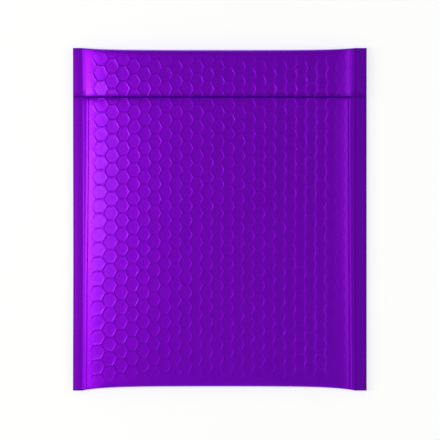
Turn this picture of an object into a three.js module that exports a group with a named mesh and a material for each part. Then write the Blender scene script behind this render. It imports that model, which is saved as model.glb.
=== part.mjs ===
/*
 * Padded envelope of bubble-lined metallic film, closed, lying on its back.
 * One web of film is folded up along the bottom, welded flat down both sides and folded
 * over at the top, where its free end lies on the front as the flap. The adhesive and the
 * liner that covers it until use lie between the flap and the front.
 * X runs across the envelope, Y from the bottom fold to the flap fold, Z up from the back.
 */
import * as THREE from 'three';
import { LoftGeometry } from 'three/addons/geometries/LoftGeometry.js';
import { mergeVertices } from 'three/addons/utils/BufferGeometryUtils.js';

// Outline of the closed envelope over its corners
const WIDTH = 240;
const LENGTH = 280;
const FLAP_LENGTH = 40;

// The padding takes up film, so both folds and both sides are drawn in between the corners
const TOP_SAG = 1.7;
const BOTTOM_SAG = 3.4;
const SIDE_SAG = 0.8;
const SAG_REACH = 20;

// Side welds: flat bands of crushed film, one layer on each side of the weld plane
const LEFT_WELD_WIDTH = 7.6;
const RIGHT_WELD_WIDTH = 9.6;
const WELD_FILM = 0.3;
const WELD_CURL = 0.2;

// Foot of the padding beside a weld: a small step, a low ramp, a steep bead and a narrow shelf
const STEP_WIDTH = 0.4;
const STEP_RISE = 0.07;
const RAMP_WIDTH = 2.5;
const RAMP_RISE = 0.11;
const BEAD_WIDTH = 0.8;
const BEAD_RISE = 0.32;
const SHELF_WIDTH = 1.2;

// Padding of the front: a quick rise at its edges, then a broad crown. The back lies flat
const EDGE_PADDING = 0.65;
const EDGE_REACH = 3.2;
const CROWN_PADDING = 5.6;
const CROWN_REACH = 32;
const BACK_DROP = 4;
const BACK_SWELL_REACH = 24;

// Folds: the padding is pinched towards each fold and rolled over it
const TOP_PINCH = 0.24;
const TOP_PINCH_REACH = 40;
const BOTTOM_PINCH = 0.52;
const BOTTOM_PINCH_REACH = 62;
const TOP_CREST = 0.6;
const TOP_CREST_REACH = 5;
const TOP_ROLL = 1.8;
const BOTTOM_ROLL = 1.5;
const WELD_ROLL = 0.7;
const FOLD_WEB = 6;

// Flap: its bubbles are crimped along the cut, whose corner is rounded, and it dents the front
const FLAP_FILM = 0.8;
const FLAP_PADDING = 0.8;
const FLAP_PADDING_START = 0.8;
const FLAP_EDGE_REACH = 6;
const CUT_EDGE_PINCH = 0.15;
const CUT_EDGE_REACH = 2;
const CUT_EDGE_ROUND = 0.7;
const DENT = 0.65;
const DENT_SHARE_ON_WELD = 0.3;
const DENT_REACH = 1.8;
const DENT_REACH_UNDER_FLAP = 9;

// Closure tape under the flap
const ADHESIVE_WIDTH = 14;
const LINER_WIDTH = 20;
const ADHESIVE_THICKNESS = 0.2;
const LINER_THICKNESS = 0.2;
const TAPE_FROM_CUT_EDGE = 8;
const TAPE_END_MARGIN = 2;
const TAPE_CLEARANCE = 0.15;

// Number of flat facets along each run of the film
const FACETS_ACROSS_HALF = 12;
const FACETS_BACK = 6;
const FACETS_FRONT = 12;
const FACETS_FLAP = 8;
const FACETS_ROLL = 8;
const FACETS_CUT_EDGE = 3;
const FACETS_TAPE = 4;

const HALF_WIDTH = WIDTH / 2;
const HALF_LENGTH = LENGTH / 2;
const WELD_Z = WELD_FILM + BACK_DROP;
const CUT_EDGE_Y = HALF_LENGTH - FLAP_LENGTH;
const SLIT = ADHESIVE_THICKNESS + LINER_THICKNESS + 3 * TAPE_CLEARANCE;
const BEAD_START = STEP_WIDTH + RAMP_WIDTH;
const SHELF_START = BEAD_START + BEAD_WIDTH;
const SHOULDER_START = SHELF_START + SHELF_WIDTH;

// Share of a full rise reached at a distance from where it starts
function easeIn(distance, reach) {
  return 1 - Math.exp(-Math.max(distance, 0) / reach);
}

function ramp(distance, width) {
  return THREE.MathUtils.clamp(distance / width, 0, 1);
}

// A lane is one lengthwise line of the envelope: its x, how far it lies inside the weld
// beside it, how wide that weld is and how far it is from the middle
function laneAt(x) {
  const weldWidth = x < 0 ? LEFT_WELD_WIDTH : RIGHT_WELD_WIDTH;
  const paddedHalf = HALF_WIDTH - weldWidth;
  return { x, inset: paddedHalf - Math.abs(x), weldWidth, paddedHalf };
}

// Lines of the two folds
function topY(lane) {
  return HALF_LENGTH - TOP_SAG * easeIn(lane.inset, SAG_REACH);
}

function bottomY(lane) {
  return -HALF_LENGTH + BOTTOM_SAG * easeIn(lane.inset, SAG_REACH);
}

// Height of the front's padding, where it starts at a distance from the weld
function padding(lane, start, y) {
  const distance = Math.max(lane.inset - start, 0);
  const span = lane.paddedHalf - start;
  const crown = 1 - Math.cosh((span - distance) / CROWN_REACH) / Math.cosh(span / CROWN_REACH);
  const topPinch = TOP_PINCH * (1 - easeIn(topY(lane) - y, TOP_PINCH_REACH));
  const bottomPinch = BOTTOM_PINCH * (1 - easeIn(y - bottomY(lane), BOTTOM_PINCH_REACH));
  return EDGE_PADDING * easeIn(distance, EDGE_REACH) + CROWN_PADDING * crown * (1 - topPinch - bottomPinch);
}

// How far the flap's cut edge presses the front in
function dent(lane, y) {
  const reach = y < CUT_EDGE_Y ? DENT_REACH : DENT_REACH_UNDER_FLAP;
  const share = THREE.MathUtils.lerp(DENT_SHARE_ON_WELD, 1, ramp(lane.inset, SHOULDER_START));
  return DENT * share * Math.exp(-Math.abs(y - CUT_EDGE_Y) / reach);
}

// Heights of the film's faces. The flap bridges the shelf of the front below it
function backZ(lane) {
  return BACK_DROP * (1 - ramp(lane.inset, BACK_SWELL_REACH)) ** 3;
}

function footZ(lane) {
  const curl = WELD_CURL * ramp(-lane.inset, lane.weldWidth) ** 3;
  const step = STEP_RISE * ramp(lane.inset, STEP_WIDTH);
  const rise = RAMP_RISE * ramp(lane.inset - STEP_WIDTH, RAMP_WIDTH);
  const bead = BEAD_RISE * ramp(lane.inset - BEAD_START, BEAD_WIDTH);
  return WELD_Z + WELD_FILM - curl + step + rise + bead;
}

function frontZ(lane, y) {
  return footZ(lane) + padding(lane, SHOULDER_START, y) - dent(lane, y);
}

function flapInnerZ(lane, y) {
  return footZ(lane) + SLIT + padding(lane, SHELF_START, y) - dent(lane, y);
}

function flapOuterZ(lane, y) {
  const cutPinch = CUT_EDGE_PINCH * (1 - easeIn(y - CUT_EDGE_Y, CUT_EDGE_REACH));
  const bubbles = FLAP_PADDING * easeIn(lane.inset - FLAP_PADDING_START, FLAP_EDGE_REACH) * (1 - cutPinch);
  const intoCorner = ramp(CUT_EDGE_Y + CUT_EDGE_ROUND - y, CUT_EDGE_ROUND);
  const rounding = CUT_EDGE_ROUND * (1 - Math.sqrt(1 - intoCorner ** 2));
  const overFold = (1 - ramp(topY(lane) - y, TOP_CREST_REACH)) ** 2;
  const crest = TOP_CREST * easeIn(lane.inset, SAG_REACH) * overFold;
  return flapInnerZ(lane, y) + FLAP_FILM - rounding + bubbles - crest;
}

// Positions from one Y to another, both ends included, closer at the start for a power above 1
function run(fromY, toY, facets, power = 1) {
  const share = (i) => (i / facets) ** power;
  return Array.from({ length: facets + 1 }, (_, i) => THREE.MathUtils.lerp(fromY, toY, share(i)));
}

// Half round of a fold, from one face of the film over to the other
function roll(foldY, radius, startAngle, lowZ, highZ) {
  const outward = Math.sign(foldY);
  const curve = new THREE.EllipseCurve(
    foldY - outward * radius,
    (lowZ + highZ) / 2,
    radius,
    (highZ - lowZ) / 2,
    startAngle,
    startAngle + Math.PI
  );
  return curve.getPoints(FACETS_ROLL);
}

function rollRadius(lane, fullRadius) {
  return THREE.MathUtils.lerp(WELD_ROLL, fullRadius, easeIn(lane.inset, SAG_REACH));
}

// Places a section's (y, z) points across the envelope, following the drawn-in sides
function across(lane, points) {
  return points.map(({ x: y, y: z }) => {
    const drawnIn = SIDE_SAG / HALF_WIDTH * (1 - (y / HALF_LENGTH) ** 2);
    return new THREE.Vector3(lane.x * (1 - drawnIn), y, z);
  });
}

// One lengthwise section: back, flap fold, flap, slit, front, bottom fold
function envelopeSection(x) {
  const lane = laneAt(x);
  const topRoll = rollRadius(lane, TOP_ROLL);
  const bottomRoll = rollRadius(lane, BOTTOM_ROLL);
  const topStart = topY(lane) - topRoll;
  const bottomStart = bottomY(lane) + bottomRoll;
  const slitEnd = topY(lane) - FOLD_WEB;
  const point = (y, z) => new THREE.Vector2(y, z);

  const back = run(bottomStart, topStart, FACETS_BACK).map((y) => point(y, backZ(lane)));
  const topFold = roll(topY(lane), topRoll, -Math.PI / 2, backZ(lane), flapOuterZ(lane, topStart));
  const cornerY = CUT_EDGE_Y + CUT_EDGE_ROUND;
  const cornerTurns = run(0, Math.PI / 2, FACETS_CUT_EDGE).slice(1);
  const corner = cornerTurns.map((turn) => cornerY - CUT_EDGE_ROUND * Math.sin(turn));
  const flapOuter = [...run(topStart, cornerY, FACETS_FLAP), ...corner]
    .map((y) => point(y, flapOuterZ(lane, y)));
  const flapInner = run(CUT_EDGE_Y, slitEnd, FACETS_FLAP).map((y) => point(y, flapInnerZ(lane, y)));
  const underFlap = run(slitEnd, CUT_EDGE_Y, FACETS_FLAP).map((y) => point(y, frontZ(lane, y)));
  const front = run(CUT_EDGE_Y, bottomStart, FACETS_FRONT, 2).map((y) => point(y, frontZ(lane, y)));
  const bottomFold = roll(bottomY(lane), bottomRoll, Math.PI / 2, backZ(lane), frontZ(lane, bottomStart));

  const loop = [
    ...back,
    ...topFold.slice(1, -1),
    ...flapOuter,
    ...flapInner,
    ...underFlap,
    ...front.slice(1),
    ...bottomFold.slice(1, -1)
  ];
  return across(lane, loop);
}

// One lengthwise section of a tape, hung below the flap's inner face
function tapeSection(x, startY, width, depth, thickness) {
  const lane = laneAt(x);
  const lower = run(startY, startY + width, FACETS_TAPE)
    .map((y) => new THREE.Vector2(y, flapInnerZ(lane, y) - depth - thickness));
  const upper = run(startY + width, startY, FACETS_TAPE)
    .map((y) => new THREE.Vector2(y, flapInnerZ(lane, y) - depth));
  return across(lane, [...lower, ...upper]);
}

// Section positions from an end of the film or tape to the middle, closest together beside the weld
function halfStations(weldWidth, ends) {
  const weldLine = HALF_WIDTH - weldWidth;
  const shoulder = weldLine - SHOULDER_START;
  const padded = Array.from({ length: FACETS_ACROSS_HALF }, (_, i) => {
    const share = (i / FACETS_ACROSS_HALF) ** 2;
    return THREE.MathUtils.lerp(shoulder, 0, share);
  });
  return [
    ...ends,
    weldLine,
    weldLine - STEP_WIDTH,
    weldLine - BEAD_START,
    weldLine - SHELF_START,
    ...padded
  ];
}

function stations(ends) {
  const left = halfStations(LEFT_WELD_WIDTH, ends).map((x) => -x);
  const right = halfStations(RIGHT_WELD_WIDTH, ends).toReversed();
  return [...left, 0, ...right];
}

function closedLoft(name, sections, material) {
  const loft = new LoftGeometry(sections, { capStart: true, capEnd: true });
  const skin = new THREE.BufferGeometry().copy(loft);
  skin.deleteAttribute('normal');
  skin.deleteAttribute('uv');
  const geometry = mergeVertices(skin);
  geometry.computeVertexNormals();
  const mesh = new THREE.Mesh(geometry, material);
  mesh.name = name;
  return mesh;
}

const metallicFilm = new THREE.MeshStandardMaterial({ color: 0x7012be, roughness: 0.4, metalness: 0.9 });
const hotMelt = new THREE.MeshStandardMaterial({ color: 0xd8d2b8, roughness: 0.45, metalness: 0 });
const siliconePaper = new THREE.MeshStandardMaterial({ color: 0xe9e9e6, roughness: 0.6, metalness: 0 });

const tapeEnd = HALF_WIDTH - TAPE_END_MARGIN;
const envelope = closedLoft('envelope', stations([HALF_WIDTH, tapeEnd]).map(envelopeSection), metallicFilm);

// The adhesive is laid on the flap's inner face, the wider liner on the adhesive
const tapeStations = stations([tapeEnd]);
const adhesiveStart = CUT_EDGE_Y + TAPE_FROM_CUT_EDGE;
const adhesiveDepth = TAPE_CLEARANCE;
const linerStart = adhesiveStart - (LINER_WIDTH - ADHESIVE_WIDTH) / 2;
const linerDepth = adhesiveDepth + ADHESIVE_THICKNESS + TAPE_CLEARANCE;
const adhesive = closedLoft(
  'adhesive_strip',
  tapeStations.map((x) => tapeSection(x, adhesiveStart, ADHESIVE_WIDTH, adhesiveDepth, ADHESIVE_THICKNESS)),
  hotMelt
);
const liner = closedLoft(
  'release_liner',
  tapeStations.map((x) => tapeSection(x, linerStart, LINER_WIDTH, linerDepth, LINER_THICKNESS)),
  siliconePaper
);

const paddedEnvelope = new THREE.Group();
paddedEnvelope.name = 'padded_envelope';
paddedEnvelope.add(envelope, adhesive, liner);

export default paddedEnvelope;
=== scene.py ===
import math

import bmesh
import bpy
import numpy as np
from mathutils import Matrix, Vector, noise


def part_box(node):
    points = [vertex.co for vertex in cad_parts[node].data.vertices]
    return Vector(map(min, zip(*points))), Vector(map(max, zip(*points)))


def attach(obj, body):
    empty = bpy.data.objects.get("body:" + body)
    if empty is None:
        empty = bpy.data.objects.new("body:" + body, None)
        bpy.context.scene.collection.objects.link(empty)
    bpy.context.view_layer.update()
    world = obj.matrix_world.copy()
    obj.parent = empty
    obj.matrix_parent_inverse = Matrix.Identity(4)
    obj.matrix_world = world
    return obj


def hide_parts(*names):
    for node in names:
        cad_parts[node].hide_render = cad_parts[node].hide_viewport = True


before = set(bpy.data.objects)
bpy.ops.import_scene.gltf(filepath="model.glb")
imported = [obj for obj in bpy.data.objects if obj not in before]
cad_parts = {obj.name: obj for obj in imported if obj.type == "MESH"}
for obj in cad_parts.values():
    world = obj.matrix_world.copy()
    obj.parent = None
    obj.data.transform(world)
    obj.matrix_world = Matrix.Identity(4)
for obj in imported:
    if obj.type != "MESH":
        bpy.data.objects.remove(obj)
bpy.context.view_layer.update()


# Envelope: one web of metallic film laminated to bubble film, which leaves a honeycomb of
# low ridges in its outer face. The web is folded up along the bottom and over at the top,
# and welded flat down both sides. It is laid out flat here, in millimetres, and folded.
MM = 0.001
low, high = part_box("envelope")
HALF_WIDTH = (high[0] - low[0]) / MM / 2
HALF_LENGTH = (high[1] - low[1]) / MM / 2
FLAP_LENGTH = 40
TOP_SAG, BOTTOM_SAG, SIDE_SAG, SAG_REACH = 1.7, 3.4, 0.8, 20
LEFT_WELD, RIGHT_WELD, WELD_FILM, WELD_CURL = 7.6, 9.6, 0.3, 0.2

# Foot of the padding beside a weld: a steep step, a gentle ramp, a steep bead, a flat shelf
STEP_WIDTH, STEP_RISE = 0.4, 0.07
RAMP_WIDTH, RAMP_RISE = 2.5, 0.11
BEAD_WIDTH, BEAD_RISE = 0.8, 0.32
SHELF_WIDTH = 1.2

# The foot lines lean a little, by so much in the middle and so much more towards the ends
LEFT_LEAN, RIGHT_LEAN = (-0.25, 0.82), (0.05, 0.51)
LEAN_MIDDLE, LEAN_HALF, LEAN_REACH = 20, 75, 25

# Padding: a quick rise at its edges, then a broad crown, pressed flatter at folds and flap edge
EDGE_PADDING, EDGE_REACH = 0.65, 3.2
CROWN_PADDING, CROWN_REACH = 5.6, 32
FLAP_FILM, FLAP_PADDING, FLAP_PADDING_START, FLAP_EDGE_REACH = 0.8, 0.8, 0.8, 6
BACK_DROP, BACK_SWELL_REACH = 4, 24
TOP_PINCH, TOP_PINCH_REACH = 0.24, 40
BOTTOM_PINCH, BOTTOM_PINCH_REACH = 0.52, 62
TOP_CREST, TOP_CREST_REACH = 0.6, 5
TOP_ROLL, BOTTOM_ROLL, WELD_ROLL, FOLD_WEB = 1.8, 1.5, 0.7, 6
CUT_EDGE_PINCH, CUT_EDGE_REACH, CUT_EDGE_ROUND = 0.15, 2, 0.7
DENT, DENT_ON_WELD, DENT_REACH, DENT_REACH_UNDER = 0.65, 0.3, 1.8, 9
SLIT = 0.85
WELD_Z = WELD_FILM + BACK_DROP
CUT_EDGE_Y = HALF_LENGTH - FLAP_LENGTH
BEAD_START = STEP_WIDTH + RAMP_WIDTH
SHELF_START = BEAD_START + BEAD_WIDTH
SHOULDER = SHELF_START + SHELF_WIDTH

# Bubbles: flat-sided cells in columns, every second column half a cell further along. A cell
# is a ridge, its flank and a shallow dish, each given as width and depth.
COLUMN_PITCH, ROW_PITCH = 8.567, 11.92
COLUMNS, ROWS = 27, 51
FIRST_CELL = Vector((-113.7, -5.6, 0))
CELL_RINGS = ((0.3, 0.0), (0.5, 0.105), (0.35, 0.006))
CELL_SHIFT = 1.1
LEFT_DRAW, LEFT_DRAW_X, LEFT_DRAW_REACH = 2.4, -98, 20
RIGHT_DRAW, RIGHT_DRAW_X, RIGHT_DRAW_REACH = 1.6, 90, 27
ASKEW_DRAW, ASKEW_ACROSS, ASKEW_ALONG, ASKEW_TURN = 1.4, 1, 1.85, 0.013
ASKEW_UNTIL, ASKEW_FADE = 90, 122

# Relief of the cells: lost at shoulders and folds, uneven across, along and from cell to cell
LEFT_FADE_START, LEFT_FADE = 1.5, 3
RIGHT_FADE, RIGHT_FAINT, RIGHT_FAINT_WIDTH, RIGHT_FAINT_FADE = 4, 0.25, 12.5, 6
CELL_END_FADE, FOLD_FADE = 1.5, 13
RELIEF_X, RELIEF_OVER_X = (-85, -45, 0, 40, 75), (1.0, 0.85, 1.05, 1.3, 1.9)
RELIEF_OVER_S = (1.3, 1, 1, 0.97, 0.97, 1.15)
UNEVEN, UNEVEN_SIZE = 0.5, 9
# Painted shade on the ridge tops: its share across the web, and the depth over which it fades off a
# ridge
RIDGE_SHADE_X, RIDGE_SHADE_OVER_X, RIDGE_SHADE_DEPTH = (-85, -20), (1, 0.1), 0.1

# Runs of the web from the flap's cut edge round to the inside of the flap
FLAP_RUN = FLAP_LENGTH - TOP_SAG - TOP_ROLL
TOP_RUN = 13.3
BACK_RUN = 266.0
BOTTOM_RUN = 10.6
FRONT_RUN = 2 * HALF_LENGTH - FLAP_LENGTH - BOTTOM_SAG - BOTTOM_ROLL
UNDER_RUN = FLAP_LENGTH - TOP_SAG - FOLD_WEB
RUNS = np.cumsum([0, FLAP_RUN, TOP_RUN, BACK_RUN, BOTTOM_RUN, FRONT_RUN, UNDER_RUN, SLIT, UNDER_RUN])
TOP_FOLD, BACK, BOTTOM_FOLD, FRONT, UNDER_FLAP, SLIT_END, FLAP_INNER, WEB_END = RUNS[1:]
FRONT_RUNS = (3, 4, 5)  # the bottom fold, the front, and the front under the flap
RELIEF_S = (36, 60, FRONT + 15, FRONT + 70, FRONT + 130, FRONT + 220)
HONEYCOMB_END = 48 * ROW_PITCH


def ease_in(distance, reach):
    return 1 - np.exp(-np.maximum(distance, 0) / reach)


def ramp(distance, width):
    return np.clip(distance / width, 0, 1)


def folded(x, s):
    """Points of the made-up envelope for points x across and s along the flat web."""
    weld = np.where(x < 0, LEFT_WELD, RIGHT_WELD)
    padded_half = HALF_WIDTH - weld
    inset = padded_half - np.abs(x)

    def padding(start, y):
        span = padded_half - start
        to_centre = np.clip((span - (inset - start)) / CROWN_REACH, 0, span / CROWN_REACH)
        crown = 1 - np.cosh(to_centre) / np.cosh(span / CROWN_REACH)
        top_pinch = TOP_PINCH * (1 - ease_in(top - y, TOP_PINCH_REACH))
        bottom_pinch = BOTTOM_PINCH * (1 - ease_in(y - bottom, BOTTOM_PINCH_REACH))
        edge = EDGE_PADDING * ease_in(inset - start, EDGE_REACH)
        return edge + CROWN_PADDING * crown * (1 - top_pinch - bottom_pinch)

    def dent(y):
        reach = np.where(y < CUT_EDGE_Y, DENT_REACH, DENT_REACH_UNDER)
        share = DENT_ON_WELD + (1 - DENT_ON_WELD) * ramp(inset, SHOULDER)
        return DENT * share * np.exp(-np.abs(y - CUT_EDGE_Y) / reach)

    def front_z(y):
        return foot + padding(SHOULDER, y) - dent(y)

    def flap_inner_z(y):
        return foot + SLIT + padding(SHELF_START, y) - dent(y)

    def flap_outer_z(y):
        cut_pinch = CUT_EDGE_PINCH * (1 - ease_in(y - CUT_EDGE_Y, CUT_EDGE_REACH))
        bubbles = FLAP_PADDING * ease_in(inset - FLAP_PADDING_START, FLAP_EDGE_REACH) * (1 - cut_pinch)
        rounding = 1 - np.sqrt(1 - ramp(CUT_EDGE_Y + CUT_EDGE_ROUND - y, CUT_EDGE_ROUND) ** 2)
        crest = TOP_CREST * ease_in(inset, SAG_REACH) * (1 - ramp(top - y, TOP_CREST_REACH)) ** 2
        return flap_inner_z(y) + FLAP_FILM - CUT_EDGE_ROUND * rounding + bubbles - crest

    def over_fold(angle, back, middle, face):
        rise = np.where(angle > 0, face - middle, middle - back)
        return middle + rise * np.sin(angle)

    top = HALF_LENGTH - TOP_SAG * ease_in(inset, SAG_REACH)
    bottom = -HALF_LENGTH + BOTTOM_SAG * ease_in(inset, SAG_REACH)
    curl = WELD_CURL * ramp(-inset, weld) ** 3
    foot = WELD_Z + WELD_FILM - curl + STEP_RISE * ramp(inset, STEP_WIDTH)
    foot = foot + RAMP_RISE * ramp(inset - STEP_WIDTH, RAMP_WIDTH)
    foot = foot + BEAD_RISE * ramp(inset - BEAD_START, BEAD_WIDTH)
    back = BACK_DROP * (1 - ramp(inset, BACK_SWELL_REACH)) ** 3
    top_roll = WELD_ROLL + (TOP_ROLL - WELD_ROLL) * ease_in(inset, SAG_REACH)
    bottom_roll = WELD_ROLL + (BOTTOM_ROLL - WELD_ROLL) * ease_in(inset, SAG_REACH)
    top_start, bottom_start, slit_end = top - top_roll, bottom + bottom_roll, top - FOLD_WEB

    share = [ramp(s - start, end - start) for start, end in zip(RUNS, RUNS[1:])]
    top_angle = np.pi * (0.5 - share[1])
    bottom_angle = np.pi * (share[3] - 0.5)
    run = np.clip(np.searchsorted(RUNS, s, side="right") - 1, 0, len(share) - 1)
    y = np.choose(run, [
        CUT_EDGE_Y + (top_start - CUT_EDGE_Y) * share[0],
        top_start + top_roll * np.cos(top_angle),
        top_start + (bottom_start - top_start) * share[2],
        bottom_start - bottom_roll * np.cos(bottom_angle),
        bottom_start + (CUT_EDGE_Y - bottom_start) * share[4],
        CUT_EDGE_Y + (slit_end - CUT_EDGE_Y) * share[5],
        slit_end,
        slit_end + (CUT_EDGE_Y - slit_end) * share[7],
    ])
    top_middle = (flap_outer_z(top_start) + back) / 2
    bottom_middle = (front_z(bottom_start) + back) / 2
    z = np.choose(run, [
        flap_outer_z(y),
        over_fold(top_angle, back, top_middle, flap_outer_z(y)),
        back,
        over_fold(bottom_angle, back, bottom_middle, front_z(y)),
        front_z(y),
        front_z(y),
        front_z(y) + SLIT * share[6],
        flap_inner_z(y),
    ])
    drawn_in = SIDE_SAG / HALF_WIDTH * (1 - (y / HALF_LENGTH) ** 2)
    along = np.clip((y - LEAN_MIDDLE) / LEAN_HALF, -1, 1)
    left_lean, right_lean = (middle + swing * along for middle, swing in (LEFT_LEAN, RIGHT_LEAN))
    lean = np.where(x < 0, left_lean, right_lean) * np.isin(run, FRONT_RUNS)
    lean = lean * ramp(inset - STEP_WIDTH, RAMP_WIDTH) * (1 - ease_in(inset - BEAD_START, LEAN_REACH))
    return np.stack([x * (1 - drawn_in) - np.sign(x) * lean, y, z], axis=-1)


def step_copies(web, geom, count, step):
    """Adds copies of part of the web, each a step further on, and returns it with its copies."""
    everything = list(geom)
    for i in range(1, count):
        copy = bmesh.ops.duplicate(web, geom=geom)["geom"]
        verts = [v for v in copy if isinstance(v, bmesh.types.BMVert)]
        bmesh.ops.translate(web, verts=verts, vec=step(i))
        everything += copy
    return everything


def whole(web):
    return web.verts[:] + web.edges[:] + web.faces[:]


web = bmesh.new()
stretch = Matrix.Diagonal((COLUMN_PITCH / 1.5, ROW_PITCH / math.sqrt(3), 1, 1))
hexagon = Matrix.Translation(FIRST_CELL) @ stretch @ Matrix.Rotation(math.pi / 6, 4, "Z")
bmesh.ops.create_circle(web, cap_ends=True, segments=6, radius=1, matrix=hexagon)
bmesh.ops.subdivide_edges(web, edges=web.edges[:], cuts=1)
cell = web.faces[:][0]
for width, depth in CELL_RINGS:
    bmesh.ops.inset_individual(web, faces=[cell], thickness=width, depth=-depth, use_even_offset=True)
# The middle of each cell is marked here for painted shade in the film's colour
centre_shade_layer = web.verts.layers.float.new("centre_shade")
for v in bmesh.ops.poke(web, faces=[cell])["verts"]:
    v[centre_shade_layer] = 1
column = step_copies(web, whole(web), ROWS, lambda i: Vector((0, i * ROW_PITCH, 0)))
step_copies(web, column, COLUMNS, lambda i: Vector((i * COLUMN_PITCH, i % 2 * ROW_PITCH / 2, 0)))
bmesh.ops.remove_doubles(web, verts=web.verts[:], dist=0.01)

# The bubbles lie a little askew down the front and are drawn to the left beside both welds
for v in web.verts:
    x, s = v.co.xy
    askew = ramp(s - BACK, BACK_RUN) * (1 - ramp(s - FRONT - ASKEW_UNTIL, ASKEW_FADE))
    left_draw = (LEFT_DRAW + ASKEW_DRAW * askew) * math.exp((LEFT_DRAW_X - x) / LEFT_DRAW_REACH)
    right_draw = RIGHT_DRAW * math.exp((x - RIGHT_DRAW_X) / RIGHT_DRAW_REACH)
    v.co.x += CELL_SHIFT - left_draw - right_draw - ASKEW_ACROSS * askew
    v.co.y += (ASKEW_ALONG - ASKEW_TURN * x) * askew

# Trimmed to the padded width and to the length that shows, and creased where it will fold
left_shoulder = HALF_WIDTH - LEFT_WELD - SHOULDER
right_shoulder = HALF_WIDTH - RIGHT_WELD - SHOULDER
before_top_fold = TOP_FOLD - np.array([2.4, 1.2])
before_flap = UNDER_FLAP - np.array([4.5, 2.8, 1.6, 0.8, 0.3, 0])
inside_cut_edge = [0.08, 0.25, 0.45, 0.7, 2]
inside_shoulder = [1.2, 2.4, 3.8, 5.4, 7.4, 10]


def cut(web, line, across, **trim):
    """Cuts the web along one straight line; clear_outer=True also drops what lies beyond it."""
    point = [line * abs(part) for part in across]
    bmesh.ops.bisect_plane(web, geom=whole(web), plane_co=point, plane_no=across, dist=0.001, **trim)


cut(web, -left_shoulder, (-1, 0, 0), clear_outer=True)
cut(web, right_shoulder, (1, 0, 0), clear_outer=True)
cut(web, 0, (0, -1, 0), clear_outer=True)
cut(web, HONEYCOMB_END, (0, 1, 0), clear_outer=True)
for crease in (*before_top_fold, *np.linspace(TOP_FOLD, BACK, 11), *np.linspace(BOTTOM_FOLD, FRONT, 11),
               *inside_cut_edge, *before_flap):
    cut(web, crease, (0, 1, 0))
for depth in inside_shoulder:
    cut(web, depth - left_shoulder, (1, 0, 0))
    cut(web, right_shoulder - depth, (1, 0, 0))


def grow_edge(web, axis, start, lines):
    """Extends one straight edge of the web through a list of lines."""
    rim = [
        e for e in web.edges
        if e.is_boundary and all(abs(v.co[axis] - start) < 0.002 for v in e.verts)
    ]
    for line in lines:
        grown = bmesh.ops.extrude_edge_only(web, edges=rim)["geom"]
        verts = {v for v in grown if isinstance(v, bmesh.types.BMVert)}
        for v in verts:
            v.co[axis] = line
            v.co.z = 0
        rim = [e for e in grown if isinstance(e, bmesh.types.BMEdge) and verts.issuperset(e.verts)]


for side, weld, shoulder in ((-1, LEFT_WELD, left_shoulder), (1, RIGHT_WELD, right_shoulder)):
    weld_line = HALF_WIDTH - weld
    margins = [*np.linspace(shoulder, weld_line, 16)[1:], weld_line + 0.2]
    margins += list(np.linspace(weld_line, HALF_WIDTH, 5)[1:])
    grow_edge(web, 0, side * shoulder, [side * line for line in margins])
hidden = [*np.linspace(HONEYCOMB_END, SLIT_END, 3)[1:], *np.linspace(FLAP_INNER, WEB_END, 5), 0]
grow_edge(web, 1, HONEYCOMB_END, hidden)
cut_edge = [v for v in web.verts if abs(v.co.y) < 0.001]
for v in cut_edge:
    v.co.z = 0
bmesh.ops.remove_doubles(web, verts=cut_edge, dist=0.004)
flat_web = web.loops.layers.uv.new("flat_web")
for face in web.faces:
    for loop in face.loops:
        loop[flat_web].uv = loop.vert.co.xy * MM

# The flat web is folded, with its relief standing square to the folded film
flat = np.array([v.co for v in web.verts])
x, s, relief = flat.T
reach = 0.05
along_x = folded(x + reach, s) - folded(x - reach, s)
along_s = folded(x, s + reach) - folded(x, s - reach)
outward = np.cross(along_x, along_s)
outward /= np.linalg.norm(outward, axis=1)[:, None] + 1e-12
inside = np.where(x < 0, left_shoulder, right_shoulder) - np.abs(x)
on_cells = ramp(inside, CELL_END_FADE) * (s < HONEYCOMB_END)
for fold_middle in ((TOP_FOLD + BACK) / 2, (BOTTOM_FOLD + FRONT) / 2):
    on_cells = on_cells * (1 - np.exp(-((s - fold_middle) / FOLD_FADE) ** 4))
# Share of painted shade on each ridge top, full on the left and faint towards the middle
ridge = on_cells * ramp(relief + RIDGE_SHADE_DEPTH, RIDGE_SHADE_DEPTH) * np.interp(x, RIDGE_SHADE_X, RIDGE_SHADE_OVER_X)
left_fade = ramp(inside - LEFT_FADE_START, LEFT_FADE)
faint = RIGHT_FAINT + (1 - RIGHT_FAINT) * ramp(inside - RIGHT_FAINT_WIDTH, RIGHT_FAINT_FADE)
relief = relief * on_cells * np.where(x < 0, left_fade, ramp(inside, RIGHT_FADE) * faint)
relief = relief * np.interp(x, RELIEF_X, RELIEF_OVER_X) * np.interp(s, RELIEF_S, RELIEF_OVER_S)
relief = relief * [1 + UNEVEN * noise.noise((*at, 0)) for at in flat[:, :2] / UNEVEN_SIZE]
points = folded(x, s) + outward * relief[:, None]
# Each vertex keeps its share of painted shade on ridge tops, and the cell middles keep theirs
ridge_shade_layer = web.verts.layers.float.new("ridge")
for v, point, ridge_shade_share, share in zip(web.verts, points, ridge, on_cells):
    v.co = point * MM
    v[ridge_shade_layer] = ridge_shade_share
    v[centre_shade_layer] *= share

for side in (-1, 1):
    end = [e for e in web.edges if e.is_boundary and all(v.co.x * side > 0 for v in e.verts)]
    bmesh.ops.triangle_fill(web, use_beauty=True, use_dissolve=False, edges=end, normal=(side, 0, 0))
    for edge in end:
        edge.smooth = False
bmesh.ops.triangulate(web, faces=[f for f in web.faces if len(f.verts) > 4])
for face in web.faces:
    face.smooth = True
bmesh.ops.recalc_face_normals(web, faces=web.faces[:])
envelope_mesh = bpy.data.meshes.new("envelope_film")
web.to_mesh(envelope_mesh)
web.free()
envelope = bpy.data.objects.new("envelope_film", envelope_mesh)
bpy.context.scene.collection.objects.link(envelope)


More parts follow.
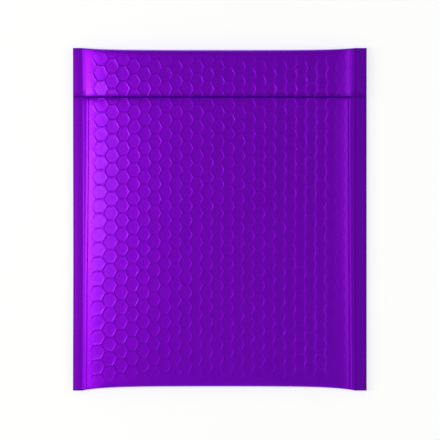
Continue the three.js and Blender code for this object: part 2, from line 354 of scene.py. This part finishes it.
class Signal:
    """An output socket of a material that takes part in Python arithmetic."""

    def __init__(self, tree, socket=None):
        self.tree = tree
        self.socket = socket

    def node(self, kind, settings=None, inputs=None, output=0):
        made = self.tree.nodes.new("ShaderNode" + kind)
        for name, value in (settings or {}).items():
            setattr(made, name, value)
        for name, value in (inputs or {}).items():
            if isinstance(value, Signal):
                self.tree.links.new(value.socket, made.inputs[name])
            else:
                made.inputs[name].default_value = value
        return Signal(self.tree, made.outputs[output])

    def math(self, operation, first, second=0.0):
        return self.node("Math", {"operation": operation}, {0: first, 1: second})

    def __add__(self, other):
        return self.math("ADD", self, other)

    __radd__ = __add__

    def __sub__(self, other):
        return self.math("SUBTRACT", self, other)

    def __rsub__(self, other):
        return self.math("SUBTRACT", other, self)

    def __mul__(self, other):
        return self.math("MULTIPLY", self, other)

    __rmul__ = __mul__


def start_material(name):
    material = bpy.data.materials.new(name)
    material.use_nodes = True
    shader = material.node_tree.nodes["Principled BSDF"]
    return material, Signal(material.node_tree), shader


film, net, shader = start_material("metallic_film")
place = net.node("TexCoord", output="Object")
on_web = net.node("UVMap", {"uv_map": "flat_web"})
across = net.node("SeparateXYZ", inputs={"Vector": on_web}, output="X")
along = net.node("SeparateXYZ", inputs={"Vector": on_web}, output="Y")


def beyond(signal, start, end):
    """Rises smoothly from 0 to 1 as a signal goes from start to end."""
    return signal.node(
        "MapRange", {"interpolation_type": "SMOOTHSTEP"},
        {"Value": signal, "From Min": start, "From Max": end},
    )


def blend(factor, first, second):
    """Mixes two colours, each a signal or a plain colour."""
    return factor.node(
        "Mix", {"data_type": "RGBA"}, {"Factor": factor, 6: first, 7: second}, output=2,
    )


drift = net.node("TexNoise", inputs={"Vector": place, "Scale": 30.0, "Detail": 3.0})
grain = net.node("TexNoise", inputs={"Vector": place, "Scale": 1400.0, "Detail": 2.0})
lengthwise = net.node("Mapping", inputs={"Vector": on_web, "Scale": (1500.0, 18.0, 1.0)})
streaks = net.node("TexNoise", inputs={"Vector": lengthwise, "Scale": 1.0, "Detail": 2.0})
left_line, right_line = (HALF_WIDTH - LEFT_WELD) * MM, (HALF_WIDTH - RIGHT_WELD) * MM
left_weld = beyond(0.0 - across, left_line - 0.0002, left_line + 0.0004)
right_weld = beyond(across, right_line - 0.0002, right_line + 0.0004)
weld = net.math("MAXIMUM", left_weld, right_weld)
# Painted shade: the colour darkens over the last millimetre of both side edges
rim = beyond(net.math("ABSOLUTE", across), (HALF_WIDTH - 1.0) * MM, (HALF_WIDTH - 0.4) * MM)
# Painted shade in a narrow band on the right weld, next to its weld line, where the crease is shaded
crease = beyond(across, right_line, right_line + 0.0005)
crease = crease - beyond(across, right_line + 0.0009, right_line + 0.002)
# Painted shade on the flap's outer face within a few millimetres of its cut edge
cut_edge_shade = 1 - beyond(along, 0.0012, 0.0045)
# Painted shade on the ridge tops, strongest on the left
ridge_shade = net.node("Attribute", {"attribute_name": "ridge"}, output="Fac")
# Painted shade in the middle of each cell, stronger on the left part of the envelope
centre_shade = beyond(net.node("Attribute", {"attribute_name": "centre_shade"}, output="Fac"), 0.1, 0.6)
centre_shade = centre_shade * (0.16 - 0.12 * beyond(across, -0.1, -0.06))
# All the painted shade masks together, the strongest of them at each point
painted_shade = net.math("MAXIMUM", net.math("MAXIMUM", 0.8 * rim, 0.5 * crease), 0.45 * cut_edge_shade)
painted_shade = net.math("MAXIMUM", net.math("MAXIMUM", painted_shade, 0.32 * ridge_shade), centre_shade)
purple = blend(drift, (0.213, 0.0008, 0.685, 1), (0.233, 0.0014, 0.745, 1))
pressed = blend(weld * (0.35 + 0.4 * streaks), purple, (0.165, 0.0015, 0.54, 1))
# The film's colour darkened towards deep purple by the painted shade
purple_with_painted_shade = blend(painted_shade, pressed, (0.09, 0.001, 0.27, 1))
net.tree.links.new(purple_with_painted_shade.socket, shader.inputs["Base Color"])
roughness = 0.35 + 0.07 * grain
net.tree.links.new(roughness.socket, shader.inputs["Roughness"])
shader.inputs["Metallic"].default_value = 1.0
shader.inputs["Coat Weight"].default_value = 0.1
shader.inputs["Coat Roughness"].default_value = 0.2
bump = net.node("Bump", inputs={"Strength": 0.15, "Distance": 0.0001, "Height": grain})
net.tree.links.new(bump.socket, shader.inputs["Normal"])
envelope.data.materials.append(film)
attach(envelope, "root")
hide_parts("envelope")


# Adhesive strip: a band of hot melt, laid warm on the inner face of the flap, where it stays
# tacky. It is cloudy and cream-coloured, and its CAD shape is shown as it is.
hot_melt, net, shader = start_material("hot_melt")
place = net.node("TexCoord", output="Object")
cloud = net.node("TexNoise", inputs={"Vector": place, "Scale": 220.0, "Detail": 4.0})
tint = blend(cloud, (0.62, 0.57, 0.42, 1), (0.76, 0.72, 0.58, 1))
net.tree.links.new(tint.socket, shader.inputs["Base Color"])
net.tree.links.new((0.3 + 0.25 * cloud).socket, shader.inputs["Roughness"])
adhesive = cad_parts["adhesive_strip"]
adhesive.data.materials.clear()
adhesive.data.materials.append(hot_melt)


# Release liner: a strip of white paper coated with silicone, cut a little wider than the
# adhesive it covers until it is peeled off. Its CAD shape is shown as it is.
liner_paper, net, shader = start_material("liner_paper")
place = net.node("TexCoord", output="Object")
fibre = net.node("TexNoise", inputs={"Vector": place, "Scale": 900.0, "Detail": 4.0})
tint = blend(fibre, (0.76, 0.76, 0.74, 1), (0.86, 0.86, 0.84, 1))
net.tree.links.new(tint.socket, shader.inputs["Base Color"])
net.tree.links.new((0.45 + 0.2 * fibre).socket, shader.inputs["Roughness"])
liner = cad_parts["release_liner"]
liner.data.materials.clear()
liner.data.materials.append(liner_paper)


# Studio: a white table under the envelope in a pale room, a long narrow light on the left, a
# weaker broad one on the right, two weak ones beyond the top and bottom of the envelope, and
# a camera straight above. The room is dimmer to the north, which darkens the flap's edge.
FLOOR_Z = -0.0003
floor_mesh = bpy.data.meshes.new("table")
table = bmesh.new()
bmesh.ops.create_grid(table, x_segments=1, y_segments=1, size=30)
bmesh.ops.translate(table, verts=table.verts[:], vec=(0, 0, FLOOR_Z))
table.to_mesh(floor_mesh)
table.free()
floor = bpy.data.objects.new("table", floor_mesh)
bpy.context.scene.collection.objects.link(floor)
white, net, shader = start_material("white_table")
shader.inputs["Base Color"].default_value = (0.44, 0.456, 0.483, 1)
shader.inputs["Roughness"].default_value = 0.9
seen = net.node("LightPath", output="Is Camera Ray")
for kind in ("Is Glossy Ray", "Is Transmission Ray"):
    seen = net.math("MAXIMUM", seen, net.node("LightPath", output=kind))
net.tree.links.new(seen.socket, shader.inputs["Emission Color"])
shader.inputs["Emission Strength"].default_value = 0.645
floor.data.materials.append(white)

world = bpy.data.worlds.new("studio")
world.use_nodes = True
bpy.context.scene.world = world
net = Signal(world.node_tree)
background = world.node_tree.nodes["Background"]
direction = net.node("TexCoord", output="Generated")
east = net.node("SeparateXYZ", inputs={"Vector": direction}, output="X")
north = net.node("SeparateXYZ", inputs={"Vector": direction}, output="Y")
height = net.node("SeparateXYZ", inputs={"Vector": direction}, output="Z")
ceiling = beyond(height, 0.0, 0.6)
corners = beyond(net.math("ABSOLUTE", 2 * east * north), 0.25, 0.8)
walls = (0.45 + 0.3 * corners) * (1 - beyond(height, 0.05, 0.5))
sky = 0.16 + 0.175 * ceiling * (1.24 - 0.5 * beyond(north, 0.0, 0.5)) + walls
world.node_tree.links.new(sky.socket, background.inputs["Color"])
background.inputs["Strength"].default_value = 1.0


def softbox(name, place, size, power, colour=(1, 1, 1)):
    lamp = bpy.data.lights.new(name, "AREA")
    lamp.shape = "RECTANGLE"
    lamp.size, lamp.size_y = size
    lamp.energy = power
    lamp.color = colour
    box = bpy.data.objects.new(name, lamp)
    box.location = place
    box.rotation_euler = (-Vector(place)).to_track_quat("-Z", "Y").to_euler()
    bpy.context.scene.collection.objects.link(box)


softbox("left_softbox", (-0.94, 0.035, 1.11), (0.123, 1.28), 8.3, (1, 0.92, 0.74))
softbox("right_softbox", (0.945, 0.0, 1.14), (1.0, 0.5), 2.4, (1, 0.97, 0.7))
softbox("top_softbox", (0.0, 0.95, 0.9), (1.2, 0.3), 0.8)
softbox("bottom_softbox", (0.0, -0.72, 1.1), (1.2, 0.4), 0.6)

PIXEL = 0.8167 * MM
FRAME_PIXELS = 440
CENTRE_RIGHT, CENTRE_UP, FOCUS_HEIGHT = 0.2 * PIXEL, -0.7 * PIXEL, 0.006
lens = bpy.data.cameras.new("camera")
lens.lens = 300
lens.sensor_width = 36
distance = FRAME_PIXELS * PIXEL * lens.lens / lens.sensor_width
camera = bpy.data.objects.new("camera", lens)
camera.location = (CENTRE_RIGHT, CENTRE_UP, FOCUS_HEIGHT + distance)
bpy.context.scene.collection.objects.link(camera)
bpy.context.scene.camera = camera
bpy.context.scene.view_settings.view_transform = "Standard"
